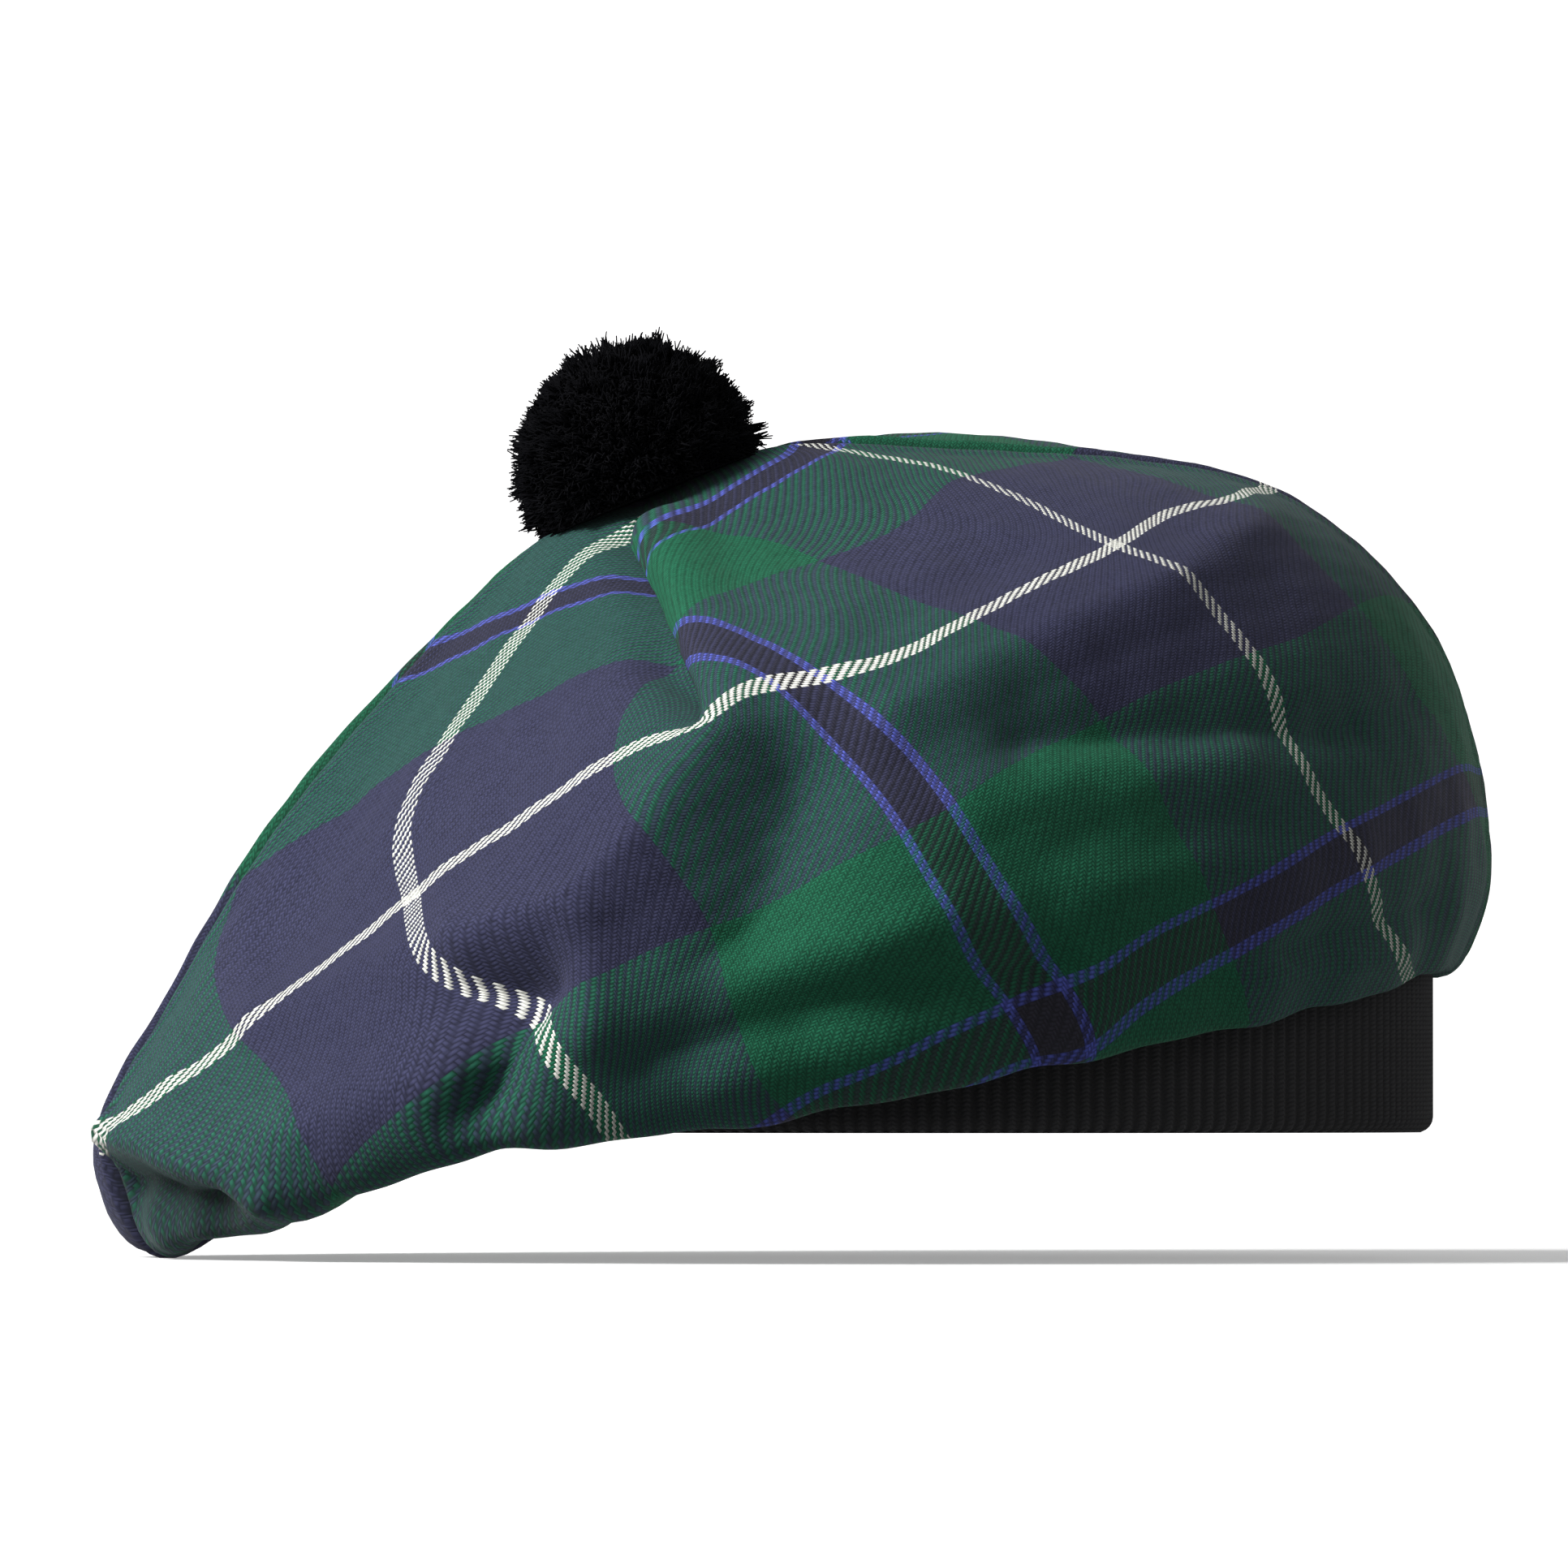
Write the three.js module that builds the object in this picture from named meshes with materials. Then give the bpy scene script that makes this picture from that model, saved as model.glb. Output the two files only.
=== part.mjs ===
// A tam o' shanter: a floppy round crown of two checked wool panels, sewn together along one seam
// over the top, on a ribbed knit head band, with a yarn pompom on the crown's middle.
// Millimetres, +Z up. The origin is the centre of the head opening, level with the band's lower
// rim. +X points to the side where the crown stands tall, and the crown droops to -X. The seam
// lies in the plane Y = 0, with the near panel on -Y and the far panel on +Y.
import * as THREE from "three";

// The head band, for a head of about 55 cm round.
const BAND_OUTER_RADIUS = 88.5;
const BAND_WALL = 3.4;
const BAND_HEIGHT = 31;
const BAND_ROLL = 3;
const BAND_STEPS = 60;
const ROLL_STEPS = 4;

// The crown's cloth and how finely its walls are faceted.
const CLOTH = 1.6;
const GAP = 0.3;
const PANEL_STEPS = 30;
const RING_STEPS = { seat: 2, top: 3, shoulder: 5, wall: 4, rim: 3, keel: 3, join: 4, hem: 1 };

// The seat of the pompom: a shallow saddle round the crown's middle, tipped down to the left.
const SEAT = { x: -60, z: 121, radius: 21, tilt: THREE.MathUtils.degToRad(22), saddle: 5 };

// The middle of each ring of the crown, because the crown is pulled to the left of the band.
const RING_CENTRE = { top: -50, shoulder: -40, wall: -35, rim: -35, keel: -35, join: 0, hem: 0 };

// Where the cloth closes on the band: just outside its wall, then in over its upper edge.
const JOIN_OUT = BAND_OUTER_RADIUS + 2.5;
const JOIN_Z = BAND_HEIGHT + 0.8;
const HEM_OUT = BAND_OUTER_RADIUS - BAND_WALL + 0.8;
const HEM_Z = BAND_HEIGHT + GAP + 0.1;

// Sections of the crown, one for each direction from its middle, in degrees anticlockwise from +X
// seen from above. Each ring has its distance out from the ring's middle, and its height.
const SECTION_COLUMNS = ["angle", "top", "shoulder", "wall", "rim", "keel"];
const SECTIONS = [
  [0, [44, 129.5], [99, 120.5], [123, 93], [132.8, 51], [129.5, 37.5]],
  [30, [46, 134.5], [101, 122], [124, 92], [133, 49], [128, 33]],
  [60, [52, 127], [112, 101], [128, 68], [132, 38], [124, 18]],
  [90, [58, 110], [108, 87], [127, 56], [132, 29], [121, 6]],
  [120, [56, 98], [103, 69], [124, 40], [131, 18], [121, -3]],
  [150, [50, 92], [96, 56], [122, 26], [136, 1], [126, -16]],
  [165, [49, 94], [96, 57], [124, 23], [137.5, -6], [128, -21.5]],
  [180, [47, 97.5], [90, 59.5], [116, 25], [128.7, -1], [118, -22.5]],
  [195, [48, 90.5], [91, 46], [115, 19], [126, -6], [118, -21.5]],
  [210, [50, 85.5], [92, 41], [113, 16], [124, -9], [114, -18]],
  [225, [53, 83.5], [95, 40], [116, 16], [125, 0], [119, -12]],
  [240, [56, 88], [106, 42], [121, 22], [127, 9], [120, -3.5]],
  [255, [58, 95], [110, 62], [125, 38], [130, 19], [121, 0]],
  [270, [58, 102], [108, 81], [127, 54], [131, 28], [121, 4]],
  [300, [54, 113], [110, 95], [127, 65], [132, 38], [123, 16.5]],
  [330, [47, 124.5], [103, 112], [124, 84], [132, 46], [126, 27.5]],
].map((row) => Object.fromEntries(SECTION_COLUMNS.map((name, i) => [name, row[i]])));

// Folds in the cloth, as soft ridges and valleys between two places in the side view. A height
// above nought stands out of the cloth, and one below nought goes in.
const FOLD_COLUMNS = ["side", "fromX", "fromZ", "toX", "toZ", "halfWidth", "height"];
const FOLDS = [
  ["near", -60, 107, -41, 78, 8, 3],
  ["near", -68, 104, -54, 79, 7, -4],
  ["near", -47, 74, -92, 35, 9, 4],
  ["near", -92, 26, -90, 4, 8, -5],
  ["near", -72, 40, -66, 16, 8, 3],
  ["near", -15, 72, 48, 96, 9, 2.5],
  ["near", 8, 66, 72, 76, 9, -2],
  ["near", -42, 16, 18, 32, 8, -2.5],
  ["near", 1, 44, 64, 60, 10, 2],
  ["far", -58, 104, -44, 84, 9, -4],
  ["far", -20, 70, 50, 90, 10, 2.5],
  ["far", -48, 70, -96, 30, 10, 3],
].map((row) => Object.fromEntries(FOLD_COLUMNS.map((name, i) => [name, row[i]])));

// The folds fade out over this share of the way to the seat and to the keel.
const FOLD_FADE = 0.08;

// The pompom: a ball of cut yarn, flattened where it is sewn down.
const POMPOM = { x: -63, z: 130, radius: 22.5, edge: 2, stepsRound: 26, stepsUp: 12 };

// One ring of the crown at any angle, on a smooth closed curve through the sections.
function ringAt(name, angle) {
  const count = SECTIONS.length;
  const turned = (angle + 360) % 360;
  let i = count - 1;
  while (SECTIONS[i].angle > turned) i -= 1;
  const pick = (step) => {
    const index = i + step;
    const section = SECTIONS[(index + count) % count];
    return { angle: section.angle + 360 * Math.floor(index / count), ring: section[name] };
  };
  const [before, start, end, after] = [-1, 0, 1, 2].map(pick);
  const span = end.angle - start.angle;
  const t = (turned - start.angle) / span;
  return start.ring.map((value, k) => {
    const leave = ((end.ring[k] - before.ring[k]) / (end.angle - before.angle)) * span;
    const arrive = ((after.ring[k] - start.ring[k]) / (after.angle - start.angle)) * span;
    const rise = end.ring[k] - value;
    const bend = 3 * rise - 2 * leave - arrive;
    const twist = leave + arrive - 2 * rise;
    return value + t * (leave + t * (bend + t * twist));
  });
}

// A point at a distance out from the middle of a ring.
function outFrom(centreX, out, angle, z) {
  const turn = THREE.MathUtils.degToRad(angle);
  return new THREE.Vector3(centreX + out * Math.cos(turn), out * Math.sin(turn), z);
}

// The line that the cloth follows in one direction, from the crown's middle to the band.
function spoke(angle) {
  const turn = THREE.MathUtils.degToRad(angle);
  const seatOut = SEAT.radius * Math.hypot(Math.cos(turn) * Math.cos(SEAT.tilt), Math.sin(turn));
  const seatZ =
    SEAT.z + SEAT.radius * Math.sin(SEAT.tilt) * Math.cos(turn) - SEAT.saddle * Math.sin(turn) ** 2;
  const points = [
    new THREE.Vector3(SEAT.x, 0, SEAT.z),
    outFrom(SEAT.x, seatOut, angle, seatZ),
  ];
  for (const name of SECTION_COLUMNS.slice(1)) {
    const [out, z] = ringAt(name, angle);
    points.push(outFrom(RING_CENTRE[name], out, angle, z));
  }
  points.push(outFrom(RING_CENTRE.join, JOIN_OUT, angle, JOIN_Z));
  points.push(outFrom(RING_CENTRE.hem, HEM_OUT, angle, HEM_Z));
  return new THREE.CatmullRomCurve3(points, false, "centripetal");
}

// How far along the spokes each row of the grid lies, from nought at the middle to one at the hem.
function ringPlaces() {
  const stretches = Object.values(RING_STEPS);
  const places = [];
  stretches.forEach((steps, i) => {
    for (let k = 1; k <= steps; k += 1) places.push((i + k / steps) / stretches.length);
  });
  return places;
}

// How far a place on the cloth stands out because of the folds on its side.
function foldHeight(side, point) {
  let height = 0;
  for (const fold of FOLDS) {
    if (fold.side !== side) continue;
    const along = new THREE.Vector2(fold.toX - fold.fromX, fold.toZ - fold.fromZ);
    const place = new THREE.Vector2(point.x - fold.fromX, point.z - fold.fromZ);
    const share = THREE.MathUtils.clamp(place.dot(along) / along.lengthSq(), 0, 1);
    const away = place.distanceTo(along.multiplyScalar(share)) / fold.halfWidth;
    height += fold.height * Math.exp(-away * away);
  }
  return height;
}

// One panel of the crown, as a closed wall: its outer face, its inner face and the edge between.
function crownPanel(side, firstAngle) {
  const places = ringPlaces();
  const rings = Object.keys(RING_STEPS).length;
  const [seatPlace, keelPlace] = [1 / rings, 6 / rings];
  const shift = new THREE.Vector3(0, side === "near" ? -GAP / 2 : GAP / 2, 0);
  const outer = [new THREE.Vector3(SEAT.x, 0, SEAT.z)];
  const spread = [0];
  const at = (column, row) => 1 + column * places.length + row;
  for (let column = 0; column <= PANEL_STEPS; column += 1) {
    const line = spoke(firstAngle + (180 * column) / PANEL_STEPS);
    for (const place of places) {
      outer.push(line.getPoint(place));
      const clear = Math.min(keelPlace - place, place - seatPlace);
      spread.push(THREE.MathUtils.smoothstep(clear, 0, FOLD_FADE));
    }
  }
  const faces = [];
  for (let column = 0; column < PANEL_STEPS; column += 1) {
    faces.push([0, at(column, 0), at(column + 1, 0)]);
    for (let row = 0; row < places.length - 1; row += 1) {
      const [a, b] = [at(column, row), at(column, row + 1)];
      const [c, d] = [at(column + 1, row + 1), at(column + 1, row)];
      faces.push([a, b, c], [a, c, d]);
    }
  }
  const onSeam = (i) => i === 0 || i <= places.length || i >= at(PANEL_STEPS, 0);
  const facing = () => {
    const skin = new THREE.BufferGeometry().setFromPoints(outer).setIndex(faces.flat());
    skin.computeVertexNormals();
    return outer.map((_, i) => {
      const normal = new THREE.Vector3().fromBufferAttribute(skin.attributes.normal, i);
      if (onSeam(i)) normal.y = 0;
      return normal.normalize();
    });
  };
  const smooth = facing();
  outer.forEach((point, i) => {
    point.addScaledVector(smooth[i], spread[i] * foldHeight(side, point));
    point.add(shift);
  });
  const folded = facing();
  const inner = outer.map((point, i) => point.clone().addScaledVector(folded[i], -CLOTH));
  const edge = [0];
  for (let row = 0; row < places.length; row += 1) edge.push(at(0, row));
  for (let column = 1; column < PANEL_STEPS; column += 1) edge.push(at(column, places.length - 1));
  for (let row = places.length - 1; row >= 0; row -= 1) edge.push(at(PANEL_STEPS, row));
  const inside = outer.length;
  const walls = edge.flatMap((p, i) => {
    const q = edge[(i + 1) % edge.length];
    return [
      [q, p, inside + p],
      [q, inside + p, inside + q],
    ];
  });
  const lining = faces.map(([a, b, c]) => [inside + a, inside + c, inside + b]);
  return new THREE.BufferGeometry()
    .setFromPoints([...outer, ...inner])
    .setIndex([...faces, ...lining, ...walls].flat());
}

// The head band, turned about Z from its section: a doubled knit with a rolled lower edge.
function headBand() {
  const inner = BAND_OUTER_RADIUS - BAND_WALL;
  const section = [
    new THREE.Vector2(inner, BAND_HEIGHT),
    new THREE.Vector2(inner, BAND_HEIGHT / 2),
    new THREE.Vector2(inner, 0),
  ];
  for (let i = 0; i <= ROLL_STEPS; i += 1) {
    const turn = (Math.PI / 2) * (i / ROLL_STEPS);
    const out = BAND_OUTER_RADIUS - BAND_ROLL + BAND_ROLL * Math.sin(turn);
    section.push(new THREE.Vector2(out, BAND_ROLL - BAND_ROLL * Math.cos(turn)));
  }
  section.push(new THREE.Vector2(BAND_OUTER_RADIUS, BAND_HEIGHT / 2));
  section.push(new THREE.Vector2(BAND_OUTER_RADIUS, BAND_HEIGHT));
  section.push(section[0].clone());
  return new THREE.LatheGeometry(section, BAND_STEPS).rotateX(Math.PI / 2);
}

// The pompom, turned about its own axis, with its flat base just above the crown's middle.
function pompomBall() {
  const upright = (POMPOM.z - SEAT.z) * Math.cos(SEAT.tilt);
  const base = 3 * GAP - upright - (SEAT.x - POMPOM.x) * Math.sin(SEAT.tilt);
  const baseTurn = Math.asin((base + POMPOM.edge) / POMPOM.radius);
  const baseOut = POMPOM.radius * Math.cos(baseTurn) - POMPOM.edge;
  const section = [new THREE.Vector2(0, base), new THREE.Vector2(baseOut, base)];
  for (let i = 0; i < POMPOM.stepsUp; i += 1) {
    const turn = baseTurn + (Math.PI / 2 - baseTurn) * (i / POMPOM.stepsUp);
    const out = POMPOM.radius * Math.cos(turn);
    section.push(new THREE.Vector2(out, POMPOM.radius * Math.sin(turn)));
  }
  section.push(new THREE.Vector2(0, POMPOM.radius));
  return new THREE.LatheGeometry(section, POMPOM.stepsRound).rotateX(Math.PI / 2);
}

function piece(name, geometry, color, roughness) {
  const material = new THREE.MeshStandardMaterial({ color, roughness, metalness: 0 });
  const mesh = new THREE.Mesh(geometry, material);
  mesh.name = name;
  return mesh;
}

const tam = new THREE.Group();
tam.add(piece("crown_near_panel", crownPanel("near", 180), 0x1c4a3a, 0.9));
tam.add(piece("crown_far_panel", crownPanel("far", 0), 0x1c4a3a, 0.9));
tam.add(piece("head_band", headBand(), 0x151516, 0.95));
const pompom = piece("pompom", pompomBall(), 0x0b0b0c, 1);
pompom.rotation.y = -SEAT.tilt;
pompom.position.set(POMPOM.x, 0, POMPOM.z);
tam.add(pompom);

export default tam;
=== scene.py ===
import math

import bmesh
import bpy
import numpy as np
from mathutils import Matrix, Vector


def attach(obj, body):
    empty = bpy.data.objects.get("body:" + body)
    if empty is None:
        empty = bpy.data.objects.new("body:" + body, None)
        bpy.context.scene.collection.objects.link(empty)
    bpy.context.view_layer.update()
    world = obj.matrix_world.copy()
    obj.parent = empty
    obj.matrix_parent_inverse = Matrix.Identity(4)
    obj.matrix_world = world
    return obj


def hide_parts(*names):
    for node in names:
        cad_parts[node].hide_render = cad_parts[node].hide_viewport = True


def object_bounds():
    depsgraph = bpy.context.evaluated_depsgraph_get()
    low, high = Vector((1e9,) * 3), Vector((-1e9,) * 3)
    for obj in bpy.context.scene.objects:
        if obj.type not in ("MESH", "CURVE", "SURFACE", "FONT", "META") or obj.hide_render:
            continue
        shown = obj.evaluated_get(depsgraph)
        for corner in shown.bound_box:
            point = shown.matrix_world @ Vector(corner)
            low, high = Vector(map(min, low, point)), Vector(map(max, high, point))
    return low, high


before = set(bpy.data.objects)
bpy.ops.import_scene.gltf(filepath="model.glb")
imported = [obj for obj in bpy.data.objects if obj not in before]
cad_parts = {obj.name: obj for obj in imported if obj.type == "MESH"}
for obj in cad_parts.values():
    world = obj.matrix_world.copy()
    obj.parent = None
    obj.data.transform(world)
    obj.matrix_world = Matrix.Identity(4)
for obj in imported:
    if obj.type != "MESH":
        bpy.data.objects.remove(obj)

MM = 0.001
cad_low, cad_high = [Vector(corner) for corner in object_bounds()]

# The hat hangs over a pale round sweep of paper, held up as a head holds it, so that the droop of
# the crown just clears the paper. Soft window light falls from the left, and a long lens looks
# at it from a few steps away, at the height of the head band.
CAMERA_DISTANCE = 3.0
CAMERA_HEIGHT = 0.006
LENS_MM = 361.0
SENSOR_MM = 36.0
VIEW_DEPTH = 50.0
AIM_LIFT = 1.5 * MM
cad_middle = (cad_low + cad_high) / 2
aim = Vector((cad_middle.x, 0.0, cad_middle.z + AIM_LIFT))
eye = Vector((aim.x, -CAMERA_DISTANCE, CAMERA_HEIGHT))

camera = bpy.data.objects.new("camera", bpy.data.cameras.new("camera"))
camera.data.lens = LENS_MM
camera.data.sensor_width = SENSOR_MM
camera.data.clip_end = VIEW_DEPTH
camera.location = eye
camera.rotation_euler = (aim - eye).to_track_quat("-Z", "Y").to_euler()
bpy.context.scene.collection.objects.link(camera)
bpy.context.scene.camera = camera
bpy.context.scene.view_settings.view_transform = "Standard"

PAPER_DROP = 1.5 * MM
FLOOR_RADIUS = 4.2
FLOOR_RINGS = (0.0, 0.6, 2.0)
SWEEP_RADIUS = 0.9
SWEEP_STEPS = 10
SWEEP_SEGMENTS = 64
WALL_HEIGHT = 3.0
# The paper's own glow, as (share of the floor's radius, brightness): dim under the hat, so that
# its shadow shows, and almost white far away.
GLOW_NEAR = (0.1, 0.3)
GLOW_FAR = (0.6, 0.95)


def new_object(name, mesh):
    thing = bpy.data.objects.new(name, mesh)
    bpy.context.scene.collection.objects.link(thing)
    return thing


def finished(bm, name):
    """The bmesh as an object at the origin, shaded smooth."""
    mesh = bpy.data.meshes.new(name)
    bm.to_mesh(mesh)
    bm.free()
    mesh.polygons.foreach_set("use_smooth", [True] * len(mesh.polygons))
    return new_object(name, mesh)


def spun(section, steps):
    """A closed round of a section line, given as (out, up) in metres, about the upright axis."""
    bm = bmesh.new()
    line = [bmesh.ops.create_vert(bm, co=(out, 0, up))["vert"][0] for out, up in section]
    edges = [bm.edges.new(pair) for pair in zip(line, line[1:])]
    bmesh.ops.spin(
        bm,
        geom=line + edges,
        cent=(0, 0, 0),
        axis=(0, 0, 1),
        dvec=(0, 0, 0),
        angle=2 * math.pi,
        steps=steps,
        use_merge=True,
    )
    bmesh.ops.remove_doubles(bm, verts=bm.verts, dist=0.01 * MM)
    bmesh.ops.recalc_face_normals(bm, faces=bm.faces)
    return bm


def shader(name):
    material = bpy.data.materials.new(name)
    material.use_nodes = True
    return material, material.node_tree, material.node_tree.nodes["Principled BSDF"]


def node(tree, kind, inputs=None, **settings):
    """A node with its settings, and with each input joined to a socket or set to a value."""
    made = tree.nodes.new(kind)
    for key, value in settings.items():
        setattr(made, key, value)
    for name, value in (inputs or {}).items():
        if isinstance(value, bpy.types.NodeSocket):
            tree.links.new(value, made.inputs[name])
        else:
            made.inputs[name].default_value = value
    return made


def maths(tree, operation, *values):
    return node(tree, "ShaderNodeMath", dict(enumerate(values)), operation=operation).outputs[0]


def ramp(tree, value, *stops):
    """The colour that a value picks between two stops, each a place and a colour."""
    made = node(tree, "ShaderNodeValToRGB", {"Fac": value})
    for element, (place, colour) in zip(made.color_ramp.elements, stops):
        element.position = place
        element.color = (*colour, 1)
    return made.outputs["Color"]


def grey(level):
    return (level, level, level)


def bumped(tree, surface, height, **strength):
    """Raises the surface by a height."""
    inputs = {"Height": height} | {name.capitalize(): value for name, value in strength.items()}
    made = node(tree, "ShaderNodeBump", inputs)
    tree.links.new(made.outputs["Normal"], surface.inputs["Normal"])


def paper_material():
    material, tree, surface = shader("white_paper")
    surface.inputs["Base Color"].default_value = (0.9, 0.9, 0.9, 1)
    surface.inputs["Roughness"].default_value = 0.9
    surface.inputs["Emission Strength"].default_value = 1.0
    where = node(tree, "ShaderNodeTexCoord").outputs["Object"]
    far_out = node(tree, "ShaderNodeVectorMath", {0: where}, operation="LENGTH")
    share = maths(tree, "DIVIDE", far_out.outputs["Value"], FLOOR_RADIUS)
    glow = ramp(tree, share, (GLOW_NEAR[0], grey(GLOW_NEAR[1])), (GLOW_FAR[0], grey(GLOW_FAR[1])))
    tree.links.new(glow, surface.inputs["Emission Color"])
    tooth = node(tree, "ShaderNodeTexNoise", {"Scale": 40.0, "Detail": 6.0})
    bumped(tree, surface, tooth.outputs["Fac"], strength=0.05)
    return material


floor_z = cad_low.z - PAPER_DROP
section = [(out, floor_z) for out in FLOOR_RINGS]
for k in range(SWEEP_STEPS + 1):
    turn = math.radians(90 * k / SWEEP_STEPS)
    up = floor_z + SWEEP_RADIUS * (1 - math.cos(turn))
    section.append((FLOOR_RADIUS + SWEEP_RADIUS * math.sin(turn), up))
section.append((FLOOR_RADIUS + SWEEP_RADIUS, floor_z + WALL_HEIGHT))
paper = finished(spun(section, SWEEP_SEGMENTS), "paper_sweep")
paper.data.materials.append(paper_material())
paper.visible_diffuse = False

# Lights: name, place, size and power. The sky is a faint even white.
LIGHTS = [
    ("window", (-2.3, -1.0, 2.0), 1.3, 125.0),
    ("fill", (0.6, -2.6, 0.6), 1.6, 4.5),
    ("top", (0.0, 0.2, 2.2), 1.8, 3.0),
]
SKY_STRENGTH = 0.11
for name, place, size, power in LIGHTS:
    light = bpy.data.lights.new(name, "AREA")
    light.size = size
    light.energy = power
    lamp = new_object(name, light)
    lamp.location = place
    lamp.rotation_euler = (cad_middle - Vector(place)).to_track_quat("-Z", "Y").to_euler()
sky = bpy.data.worlds.new("studio")
sky.use_nodes = True
sky.node_tree.nodes["Background"].inputs["Color"].default_value = (1, 1, 1, 1)
sky.node_tree.nodes["Background"].inputs["Strength"].default_value = SKY_STRENGTH
bpy.context.scene.world = sky

# The crown: two panels of checked wool twill, cut the opposite way round and sewn together along
# one seam over the top, then gathered on to the head band. Each panel has a deep tuck from the
# middle outwards. The cloth is a single layer, and the lips of the tuck are pressed, not sewn.
CLOTH = 1.1 * MM
SEAM_GAP = 0.05
TUCK_DIRECTION = 265
tuck_turn = TUCK_DIRECTION - 180
# Lines of cloth from the middle to the hem, in degrees round from the seam at the droop. They
# stand close together by the seam and by the tuck.
LINE_STEP = 1.0
SEAM_FINE = [0, 0.2, 0.45, 0.75, 1.1, 1.5, 2, 2.6, 3.3, 4.1]
TUCK_FINE = [0.3, 0.7, 1.2, 1.8, 2.5, 3.3, 4.2, 5.2, 6.4, 7.7]
turns = np.concatenate([
    SEAM_FINE,
    np.arange(5, tuck_turn - 8, LINE_STEP),
    [tuck_turn - step for step in reversed(TUCK_FINE)],
    [tuck_turn],
    [tuck_turn + step for step in TUCK_FINE],
    np.arange(tuck_turn + 9, 175.5, LINE_STEP),
    [180 - step for step in reversed(SEAM_FINE)],
])
COLUMNS = len(turns) - 1
# Rings round the crown: middle, seat, top, shoulder, wall, rim, keel, join with the band and hem,
# with the quads from each ring to the next.
RING_STEPS = [10, 18, 26, 22, 18, 10, 22, 3]
RINGS = len(RING_STEPS)
# The seat of the pompom is a shallow saddle, tilted down towards the droop.
SEAT_X, SEAT_Z, SEAT_RADIUS, SEAT_SADDLE = -60.0, 121.0, 21.0, 5.0
SEAT_TILT = math.radians(22)
BAND_RADIUS = 88.5
BAND_WALL = 3.4
BAND_HEIGHT = 31.0
JOIN = (BAND_RADIUS + 2.5, BAND_HEIGHT + 0.8)
HEM = (BAND_RADIUS - BAND_WALL + 0.8, BAND_HEIGHT + 0.4)
RING_MIDDLES = [-50, -40, -35, -35, -35]

# Sections of the crown by direction, in degrees from +X: how far out and how high each ring is.
# Columns: angle, top out, top z, shoulder out, shoulder z, wall out, wall z, rim out, rim z,
# keel out, keel z.
SECTIONS = np.array([
    [0, 44, 129.5, 99, 120.5, 123, 93, 132.8, 51, 129.5, 37.5],
    [30, 46, 134.5, 101, 122, 124, 92, 133, 49, 128, 33],
    [60, 52, 127, 112, 101, 128, 68, 132, 38, 124, 18],
    [90, 58, 110, 108, 87, 127, 56, 132, 29, 121, 6],
    [120, 56, 98, 103, 69, 124, 40, 131, 18, 121, -3],
    [150, 50, 92, 96, 56, 122, 26, 136, 1, 126, -16],
    [165, 49, 94, 96, 57, 124, 23, 137.5, -6, 128, -21.5],
    [180, 47, 97.5, 90, 59.5, 116, 25, 128.7, -1, 118, -22.5],
    [195, 48, 90.5, 91, 46, 115, 19, 126, -6, 118, -21.5],
    [210, 50, 85.5, 92, 41, 113, 16, 124, -9, 114, -18],
    [225, 53, 83.5, 95, 40, 116, 16, 125, 0, 119, -12],
    [240, 56, 88, 106, 42, 121, 22, 127, 9, 120, -3.5],
    [255, 58, 95, 110, 62, 125, 38, 130, 19, 121, 0],
    [270, 58, 102, 108, 81, 127, 54, 131, 28, 121, 4],
    [300, 54, 113, 110, 95, 127, 65, 132, 38, 123, 16.5],
    [330, 47, 124.5, 103, 112, 124, 84, 132, 46, 126, 27.5],
])

# Folds in the cloth, as ridges and valleys seen from the front, in millimetres. Each has a half
# width, a height, a sharpness and the way that it runs.
NEAR_FOLDS = [
    (7, 5.5, 1.5, [(-46, 74), (-61, 53), (-70, 42), (-92, 34)]),
    (14, -8.5, 2, [(-33, 66), (-43, 36)]),
    (4, -4.8, 1.6, [(-93, 27), (-78, 28)]),
    (6, -6.0, 2, [(-84, 22), (-92, 2)]),
    (4.5, 3.4, 1.6, [(-70, 38), (-70, 18)]),
    (7, 3.0, 1.6, [(-133, 20), (-106, 31)]),
    (6, 2.8, 1.6, [(-16, 76), (37, 101), (52, 112)]),
    (7, 2.2, 2, [(2, 61), (48, 67)]),
    (5, -2.6, 1.6, [(9, 72), (71, 76)]),
    (6, 2.4, 1.6, [(-45, 28), (-6, 39)]),
    (4.5, -3.0, 1.5, [(-61, 13), (-30, 22), (17, 31)]),
    (4, 2.0, 1.6, [(-48, 8), (-14, 16)]),
    (4, -1.4, 2, [(66, 77), (82, 81)]),
    (6, 1.8, 1.8, [(20, 45), (70, 52)]),
    (3.5, -2.0, 1.5, [(58, 34), (84, 42)]),
    (3, 1.6, 1.5, [(50, 28), (80, 33)]),
    (5, -4.0, 1.6, [(-58, 88), (-50, 80)]),
    (5, -1.4, 1.6, [(-20, 92), (10, 108)]),
    (9, 1.5, 2, [(-100, 60), (-90, 90)]),
    (8, -1.2, 2, [(-128, 34), (-118, 60)]),
]
FAR_FOLDS = [
    (8, 3.5, 1.6, [(-47, 75), (-66, 50), (-96, 30)]),
    (6, -4.0, 2, [(-84, 24), (-93, 2)]),
    (8, 2.4, 1.8, [(-20, 70), (50, 90)]),
    (7, -2.0, 1.8, [(0, 58), (66, 68)]),
    (7, 2.0, 1.8, [(-50, 26), (10, 40)]),
    (5, -2.6, 1.6, [(-60, 12), (20, 27)]),
    (7, 1.6, 2, [(30, 44), (80, 62)]),
    (7, 2.4, 1.8, [(-135, 24), (-106, 32)]),
]
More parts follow.
